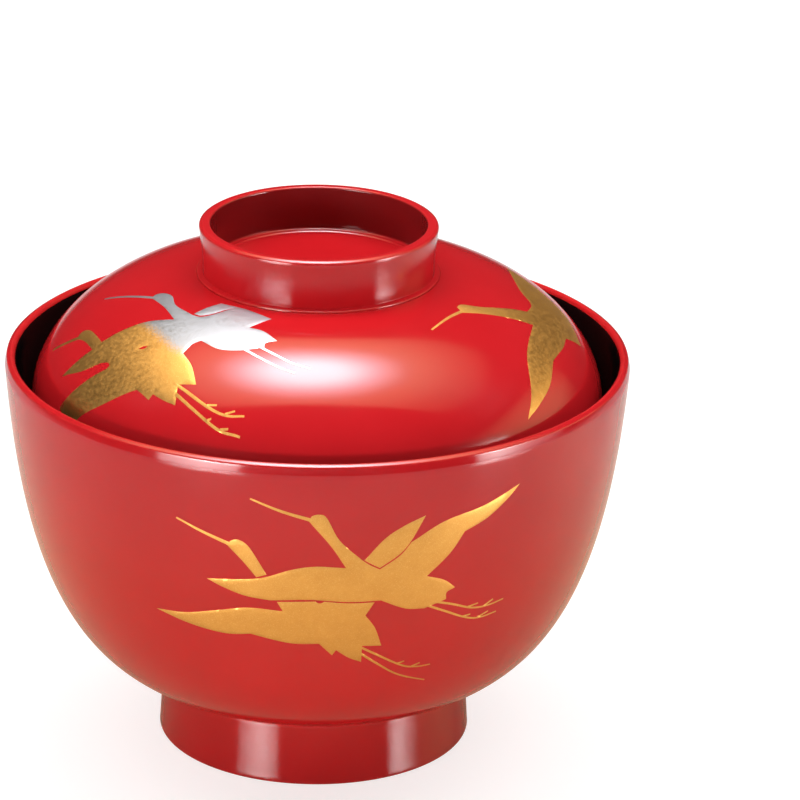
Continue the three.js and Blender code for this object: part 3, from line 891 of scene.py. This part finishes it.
# Painted red bounce: the warm tint of the sheet near the bowl, for all rays but the camera's.
TABLE_RED_BOUNCE = (0.95, 0.75, 0.50)
TABLE_SHADE, TABLE_BOUNCE = 0.45, 0.85
TABLE_GLOW = 0.78
# In mirrors the glow is lower near the bowl, a painted shadow of the bowl, and MIRROR_FAR dims the
# sheet far out, painted shade.
MIRROR_GLOW, MIRROR_GLOW_NEAR = 0.68, 0.25
MIRROR_FAR = 0.3
MIRROR_FROM, MIRROR_FULL = 0.42, 0.60  # shares of the way from facing to grazing
RED_BOUNCE_NEAR, RED_BOUNCE_FAR = 0.09, 0.22  # these and the next: metres from the bowl's middle
GLOW_START, GLOW_FULL = 0.04, 0.16
GLOW_FADE, GLOW_END = 0.45, 0.8


def white_sheet():
    """White sheet. The camera and mirrors see its colour times TABLE_SHADE of the light on it, plus a
    glow, and scattered light leaves it at TABLE_BOUNCE of its colour. For every ray but the camera's it
    is tinted warm near the bowl, a painted red bounce from the bowl. In mirrors the glow rises away
    from the bowl, its low level near the bowl a painted shadow, and it fades with the shade further
    out, a painted darkening. The gloss grows at low angles."""
    material, nodes, link, shader, place = new_material("white_sheet")
    shader.inputs["Roughness"].default_value = 0.6
    shader.inputs["Specular IOR Level"].default_value = 0
    shader.inputs["Coat IOR"].default_value = 3.0
    shader.inputs["Coat Roughness"].default_value = 0.2
    rays = nodes.new("ShaderNodeLightPath").outputs
    to_camera, to_mirror = rays["Is Camera Ray"], rays["Is Glossy Ray"]
    seen = combined(nodes, link, "MAXIMUM", to_camera, to_mirror)
    seen = combined(nodes, link, "MAXIMUM", seen, rays["Is Transmission Ray"])
    reach = nodes.new("ShaderNodeVectorMath")
    reach.operation = "LENGTH"
    link(place, reach.inputs[0])
    away = reach.outputs["Value"]
    # Painted red bounce from the bowl: warm near it, white further out.
    far = spread(nodes, link, away, 0, 1, RED_BOUNCE_NEAR, RED_BOUNCE_FAR)
    red_bounce_tint = mixed(nodes, link, far, TABLE_RED_BOUNCE, TABLE_WHITE)
    tint = mixed(nodes, link, to_camera, red_bounce_tint, TABLE_WHITE)
    shade = spread(nodes, link, seen, TABLE_BOUNCE, TABLE_SHADE, 0, 1)
    # Painted shade: mirrors see the sheet dimmer far out.
    mirror_way = combined(nodes, link, "MULTIPLY", away, to_mirror)
    dimming = spread(nodes, link, mirror_way, 1, MIRROR_FAR, GLOW_FADE, GLOW_END)
    shaded = nodes.new("ShaderNodeVectorMath")
    shaded.operation = "SCALE"
    link(tint, shaded.inputs[0])
    link(combined(nodes, link, "MULTIPLY", shade, dimming), shaded.inputs["Scale"])
    link(shaded.outputs["Vector"], shader.inputs["Base Color"])
    link(tint, shader.inputs["Emission Color"])
    # Painted shadow of the bowl: the glow in mirrors is low near the bowl and rises away from it.
    rising = spread(nodes, link, away, MIRROR_GLOW_NEAR, MIRROR_GLOW, GLOW_START, GLOW_FULL)
    falling = spread(nodes, link, away, MIRROR_GLOW, 0, GLOW_FADE, GLOW_END)
    mirror_glow = combined(nodes, link, "MINIMUM", rising, falling)
    camera_glow = spread(nodes, link, to_camera, 0, TABLE_GLOW, 0, 1)
    any_glow = combined(nodes, link, "MAXIMUM", camera_glow, mirror_glow)
    link(combined(nodes, link, "MULTIPLY", seen, any_glow), shader.inputs["Emission Strength"])
    facing = nodes.new("ShaderNodeLayerWeight").outputs["Facing"]
    low_angle = spread(nodes, link, facing, 0, 1, MIRROR_FROM, MIRROR_FULL)
    link(combined(nodes, link, "MULTIPLY", low_angle, to_mirror), shader.inputs["Coat Weight"])
    return material


def table_sheet(line):
    """The line (radius, height) from the axis carried round it, with its start closed to one point.
    Grid point (i, j) is line point i at angle j of TABLE_TURNS."""
    angle = np.arange(TABLE_TURNS) * 2 * np.pi / TABLE_TURNS
    radius = line[:, :1]
    level = np.broadcast_to(line[:, 1:], (len(line), TABLE_TURNS))
    grid = np.stack((radius * np.cos(angle), radius * np.sin(angle), level), axis=-1)
    index = np.arange(len(line) * TABLE_TURNS).reshape(len(line), TABLE_TURNS)
    further = np.roll(index, -1, axis=1)
    quads = np.stack((index[:-1], index[1:], further[1:], further[:-1]), axis=-1)
    mesh = bpy.data.meshes.new("table")
    mesh.from_pydata(grid.reshape(-1, 3).tolist(), [], quads.reshape(-1, 4).tolist())
    welded = bmesh.new()
    welded.from_mesh(mesh)
    bmesh.ops.remove_doubles(welded, verts=welded.verts, dist=1e-6)
    welded.to_mesh(mesh)
    welded.free()
    return add_mesh("table", mesh)


table_floor = curve([(0, 0), (TABLE_FLAT, 0)], steps=12)
table_rise = curve([(TABLE_FLAT, 0), (TABLE_REACH, 0), (TABLE_REACH, TABLE_WALL)], steps=24)
table = table_sheet(np.vstack((table_floor, table_rise[1:])))
table.data.materials.append(white_sheet())

# Lamps: a wide softbox overhead and a low one in front light the bowl. For the gloss alone there are
# the glow of the box overhead, brightest at its middle, four boxes in front, two on each side with
# one over the other, and a warm panel at the right.
LAMP_AIM = (0, 0, 0.05)
BOX_DISTANCE = 0.9
GLOW_COOL = (0.90, 0.94, 1.0)
GLOW_WARM = (1.0, 0.80, 0.45)
GLOW_STOPS = (0, 1), (0.08, 0.92), (0.17, 0.36), (0.24, 0.15), (0.40, 0.06), (0.62, 0)
GLOW_TURNS_WARM = 0.17, 0.27
PANEL_WARM = (1.0, 0.80, 0.42)
ROOM_WHITE = (1.0, 0.98, 0.97, 1)
ROOM_LIGHT = 0.04


def softbox(name, place, aim, size, radiance):
    """An area lamp of a set radiance at a place, facing the aim."""
    lamp = bpy.data.lights.new(name, "AREA")
    lamp.shape = "RECTANGLE"
    lamp.size, lamp.size_y = size
    lamp.energy = radiance * math.pi * lamp.size * lamp.size_y
    holder = bpy.data.objects.new(name, lamp)
    holder.location = place
    holder.rotation_euler = (Vector(place) - Vector(aim)).to_track_quat("Z", "Y").to_euler()
    bpy.context.scene.collection.objects.link(holder)
    return holder


def around(azimuth, elevation, distance):
    """A place round the bowl: degrees to the right of the front, degrees up, and metres."""
    turn, rise = math.radians(azimuth), math.radians(elevation)
    out = (math.sin(turn) * math.cos(rise), -math.cos(turn) * math.cos(rise), math.sin(rise))
    return Vector(LAMP_AIM) + Vector(out) * distance


def faded(lamp, middle, stretch, stops):
    """Fades a softbox away from its middle, given in shares of its width and height from its own left
    and top. Each stop is a distance, with the two directions weighed by stretch, and a share."""
    lamp.data.use_nodes = True
    nodes = lamp.data.node_tree.nodes
    link = lamp.data.node_tree.links.new
    away = nodes.new("ShaderNodeNewGeometry").outputs["Parametric"]
    for operation, value in (("SUBTRACT", middle), ("MULTIPLY", stretch)):
        step = nodes.new("ShaderNodeVectorMath")
        step.operation = operation
        step.inputs[1].default_value = (*value, 0)
        link(away, step.inputs[0])
        away = step.outputs["Vector"]
    length = nodes.new("ShaderNodeVectorMath")
    length.operation = "LENGTH"
    link(away, length.inputs[0])
    fade = nodes.new("ShaderNodeValToRGB")
    ramp = fade.color_ramp
    while len(ramp.elements) < len(stops):
        ramp.elements.new(1)
    for element, (reach, share) in zip(ramp.elements, stops):
        element.position = reach
        element.color = (share, share, share, 1)
    link(length.outputs["Value"], fade.inputs["Fac"])
    link(fade.outputs["Color"], nodes["Emission"].inputs["Strength"])
    return nodes, link, length.outputs["Value"]


def front_box(name, azimuth, elevation, size, radiance, bright, stops):
    """A box for the gloss, brightest at a share of its width from its left end."""
    box = softbox(name, around(azimuth, elevation, BOX_DISTANCE), LAMP_AIM, size, radiance)
    box.visible_diffuse = False
    faded(box, middle=(bright, 0.5), stretch=(1, 0), stops=stops)


overhead = softbox(
    "softbox_overhead", place=(-0.05, 0.095, 0.83), aim=(-0.05, 0.095, 0),
    size=(2.4, 0.36), radiance=6.4,
)
overhead.visible_glossy = False
front_fill = softbox(
    "fill_front", place=(-0.3, -1.2, 0.2), aim=LAMP_AIM,
    size=(2.0, 0.14), radiance=8.3,
)
front_fill.visible_glossy = False

front_box(
    "box_left_low", azimuth=-41, elevation=4, size=(0.47, 0.22), radiance=13.0,
    bright=0.58, stops=((0, 1), (0.55, 0.5)),
)
front_box(
    "box_left_high", azimuth=-41, elevation=12.6, size=(0.47, 0.14), radiance=42.0,
    bright=0.58, stops=((0, 1), (0.55, 0.25)),
)
front_box(
    "box_right_low", azimuth=76, elevation=4, size=(0.62, 0.22), radiance=13.0,
    bright=0.21, stops=((0, 1), (0.33, 0.25), (0.79, 0.04)),
)
front_box(
    "box_right_high", azimuth=69, elevation=12.6, size=(0.37, 0.14), radiance=42.0,
    bright=0.33, stops=((0, 1), (0.3, 0.5), (0.67, 0.1)),
)

panel_place = around(azimuth=97, elevation=16, distance=BOX_DISTANCE)
panel = softbox("panel_right", panel_place, LAMP_AIM, size=(1.1, 0.44), radiance=1.7)
panel.data.color = PANEL_WARM
panel.visible_diffuse = False
faded(panel, middle=(0.5, 0.5), stretch=(1, 0.8), stops=((0, 1), (0.25, 0.75), (0.5, 0.1)))

glow = softbox(
    "softbox_overhead_glow", place=(0.125, 0.13, 0.8), aim=(0.125, 0.13, 0),
    size=(1.27, 0.70), radiance=25.0,
)
glow.visible_diffuse = False
glow_nodes, glow_link, from_core = faded(
    glow, middle=(0.622, 0.571), stretch=(1, 0.664), stops=GLOW_STOPS
)
warmth = spread(glow_nodes, glow_link, from_core, 0, 1, *GLOW_TURNS_WARM)
glow_colour = mixed(glow_nodes, glow_link, warmth, GLOW_COOL, GLOW_WARM)
glow_link(glow_colour, glow_nodes["Emission"].inputs["Color"])

world = bpy.data.worlds.new("studio")
world.use_nodes = True
world.node_tree.nodes["Background"].inputs["Color"].default_value = ROOM_WHITE
world.node_tree.nodes["Background"].inputs["Strength"].default_value = ROOM_LIGHT
bpy.context.scene.world = world

# Camera: a long lens a little above the bowl, turned by the slight lean of the picture.
# The picture's centre and the focal length are in pixels of a picture 800 wide and high.
PICTURE = 800
PICTURE_CENTRE = (316.2, 473.5)
FOCAL_PIXELS = 5066.4
SENSOR_WIDTH = 36
CAMERA_DISTANCE = 0.9033
CAMERA_ELEVATION = math.radians(22.04)
CAMERA_ROLL = math.radians(0.63)
CAMERA_TARGET = Vector((0, 0, 0.04817))
CAMERA_NEAR = 0.05
camera = bpy.data.cameras.new("camera")
camera.sensor_width = SENSOR_WIDTH
camera.lens = FOCAL_PIXELS / PICTURE * SENSOR_WIDTH
camera.shift_x = 0.5 - PICTURE_CENTRE[0] / PICTURE
camera.shift_y = PICTURE_CENTRE[1] / PICTURE - 0.5
camera.clip_start = CAMERA_NEAR
camera_holder = bpy.data.objects.new("camera", camera)
toward = Vector((0, -math.cos(CAMERA_ELEVATION), math.sin(CAMERA_ELEVATION)))
camera_turn = toward.to_track_quat("Z", "Y").to_matrix().to_4x4() @ Matrix.Rotation(CAMERA_ROLL, 4, "Z")
camera_holder.matrix_world = Matrix.Translation(CAMERA_TARGET + toward * CAMERA_DISTANCE) @ camera_turn
bpy.context.scene.collection.objects.link(camera_holder)
bpy.context.scene.camera = camera_holder
bpy.context.scene.view_settings.view_transform = "Standard"
